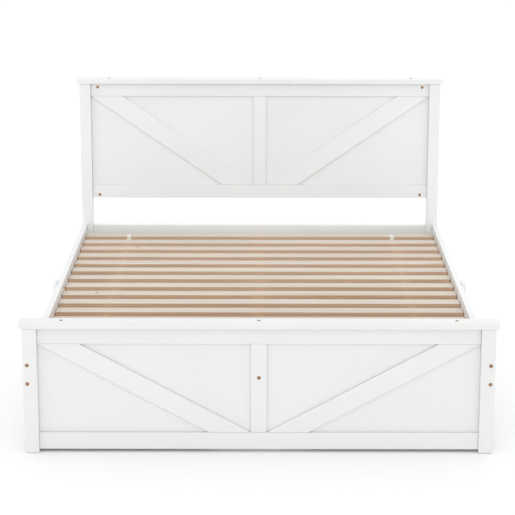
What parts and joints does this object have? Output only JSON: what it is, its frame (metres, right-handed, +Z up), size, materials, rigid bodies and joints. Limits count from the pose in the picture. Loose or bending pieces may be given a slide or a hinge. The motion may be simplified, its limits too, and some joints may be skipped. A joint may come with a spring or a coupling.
{
  "type": "platform bed with storage drawers",
  "caption": "Queen platform bed with a braced barn-door headboard and footboard, pine slats on ledgers and a centre beam, and rolling under-bed drawers.",
  "frame": {"origin": "on the floor under the middle of the whole bed", "axes": "+X to the right seen from the foot, +Y from the foot towards the headboard, +Z up"},
  "size_m": [1.633, 2.164, 0.963],
  "materials": {
    "white_paint": "satin white paint over wood",
    "pine": "sanded bare pine",
    "drawer_ply": "bare plywood",
    "wheel_nylon": "moulded nylon on a steel axle",
    "bolt_bronze": "bronze-plated bolt heads",
    "zinc_steel": "zinc-plated steel",
    "cotton_webbing": "woven cotton webbing"
  },
  "bodies": {
    "bedframe": {"foot_post_left": "white_paint", "foot_post_right": "white_paint", "foot_cap": "white_paint", "foot_top_rail": "white_paint", "foot_bottom_rail": "white_paint", "foot_panel": "white_paint", "foot_centre_stile": "white_paint", "foot_brace_left": "white_paint", "foot_brace_right": "white_paint", "head_post_left": "white_paint", "head_post_right": "white_paint", "head_cap": "white_paint", "head_top_rail": "white_paint", "head_bottom_rail": "white_paint", "head_panel": "white_paint", "head_centre_stile": "white_paint", "head_brace_left": "white_paint", "head_brace_right": "white_paint", "head_low_rail": "white_paint", "side_rail_left": "white_paint", "side_rail_right": "white_paint", "mid_leg_left": "white_paint", "mid_leg_right": "white_paint", "ledger_left": "pine", "ledger_right": "pine", "slat_01": "pine", "slat_02": "pine", "slat_03": "pine", "slat_04": "pine", "slat_05": "pine", "slat_06": "pine", "slat_07": "pine", "slat_08": "pine", "slat_09": "pine", "slat_10": "pine", "slat_11": "pine", "slat_12": "pine", "slat_13": "pine", "slat_14": "pine", "slat_15": "pine", "slat_16": "pine", "centre_beam": "pine", "centre_leg_foot": "pine", "centre_leg_head": "pine"},
    "drawer_left_foot": {"drawer_left_foot_front": "white_paint", "drawer_left_foot_box": "drawer_ply"},
    "drawer_left_foot_inner_wheels": {"drawer_left_foot_inner_wheels": "wheel_nylon"},
    "drawer_left_foot_outer_wheels": {"drawer_left_foot_outer_wheels": "wheel_nylon"},
    "drawer_left_head": {"drawer_left_head_front": "white_paint", "drawer_left_head_box": "drawer_ply"},
    "drawer_left_head_inner_wheels": {"drawer_left_head_inner_wheels": "wheel_nylon"},
    "drawer_left_head_outer_wheels": {"drawer_left_head_outer_wheels": "wheel_nylon"},
    "drawer_right_foot": {"drawer_right_foot_front": "white_paint", "drawer_right_foot_box": "drawer_ply"},
    "drawer_right_foot_inner_wheels": {"drawer_right_foot_inner_wheels": "wheel_nylon"},
    "drawer_right_foot_outer_wheels": {"drawer_right_foot_outer_wheels": "wheel_nylon"},
    "drawer_right_head": {"drawer_right_head_front": "white_paint", "drawer_right_head_box": "drawer_ply"},
    "drawer_right_head_inner_wheels": {"drawer_right_head_inner_wheels": "wheel_nylon"},
    "drawer_right_head_outer_wheels": {"drawer_right_head_outer_wheels": "wheel_nylon"}
  },
  "joints": [
    {"name": "drawer_left_foot_slide", "type": "slide", "parent": "bedframe", "child": "drawer_left_foot", "axis": [-1, 0, 0], "range_m": [0, 0.56]},
    {"name": "drawer_left_foot_inner_roll", "type": "hinge", "parent": "drawer_left_foot", "child": "drawer_left_foot_inner_wheels", "pos_m": [-0.2245, -0.5275, 0.022], "axis": [0, -1, 0], "range_deg": [0, 1500]},
    {"name": "drawer_left_foot_outer_roll", "type": "hinge", "parent": "drawer_left_foot", "child": "drawer_left_foot_outer_wheels", "pos_m": [-0.6962, -0.5275, 0.022], "axis": [0, -1, 0], "range_deg": [0, 1500]},
    {"name": "drawer_left_head_slide", "type": "slide", "parent": "bedframe", "child": "drawer_left_head", "axis": [-1, 0, 0], "range_m": [0, 0.56]},
    {"name": "drawer_left_head_inner_roll", "type": "hinge", "parent": "drawer_left_head", "child": "drawer_left_head_inner_wheels", "pos_m": [-0.2245, 0.5275, 0.022], "axis": [0, -1, 0], "range_deg": [0, 1500]},
    {"name": "drawer_left_head_outer_roll", "type": "hinge", "parent": "drawer_left_head", "child": "drawer_left_head_outer_wheels", "pos_m": [-0.6962, 0.5275, 0.022], "axis": [0, -1, 0], "range_deg": [0, 1500]},
    {"name": "drawer_right_foot_slide", "type": "slide", "parent": "bedframe", "child": "drawer_right_foot", "axis": [1, 0, 0], "range_m": [0, 0.56]},
    {"name": "drawer_right_foot_inner_roll", "type": "hinge", "parent": "drawer_right_foot", "child": "drawer_right_foot_inner_wheels", "pos_m": [0.2245, -0.5275, 0.022], "axis": [0, 1, 0], "range_deg": [0, 1500]},
    {"name": "drawer_right_foot_outer_roll", "type": "hinge", "parent": "drawer_right_foot", "child": "drawer_right_foot_outer_wheels", "pos_m": [0.6962, -0.5275, 0.022], "axis": [0, 1, 0], "range_deg": [0, 1500]},
    {"name": "drawer_right_head_slide", "type": "slide", "parent": "bedframe", "child": "drawer_right_head", "axis": [1, 0, 0], "range_m": [0, 0.56]},
    {"name": "drawer_right_head_inner_roll", "type": "hinge", "parent": "drawer_right_head", "child": "drawer_right_head_inner_wheels", "pos_m": [0.2245, 0.5275, 0.022], "axis": [0, 1, 0], "range_deg": [0, 1500]},
    {"name": "drawer_right_head_outer_roll", "type": "hinge", "parent": "drawer_right_head", "child": "drawer_right_head_outer_wheels", "pos_m": [0.6962, 0.5275, 0.022], "axis": [0, 1, 0], "range_deg": [0, 1500]}
  ],
  "couplings": [
    {"joint": "drawer_left_foot_inner_roll", "follows": "drawer_left_foot_slide", "rad_per_m": 45.455},
    {"joint": "drawer_left_foot_outer_roll", "follows": "drawer_left_foot_slide", "rad_per_m": 45.455},
    {"joint": "drawer_left_head_inner_roll", "follows": "drawer_left_head_slide", "rad_per_m": 45.455},
    {"joint": "drawer_left_head_outer_roll", "follows": "drawer_left_head_slide", "rad_per_m": 45.455},
    {"joint": "drawer_right_foot_inner_roll", "follows": "drawer_right_foot_slide", "rad_per_m": 45.455},
    {"joint": "drawer_right_foot_outer_roll", "follows": "drawer_right_foot_slide", "rad_per_m": 45.455},
    {"joint": "drawer_right_head_inner_roll", "follows": "drawer_right_head_slide", "rad_per_m": 45.455},
    {"joint": "drawer_right_head_outer_roll", "follows": "drawer_right_head_slide", "rad_per_m": 45.455}
  ]
}
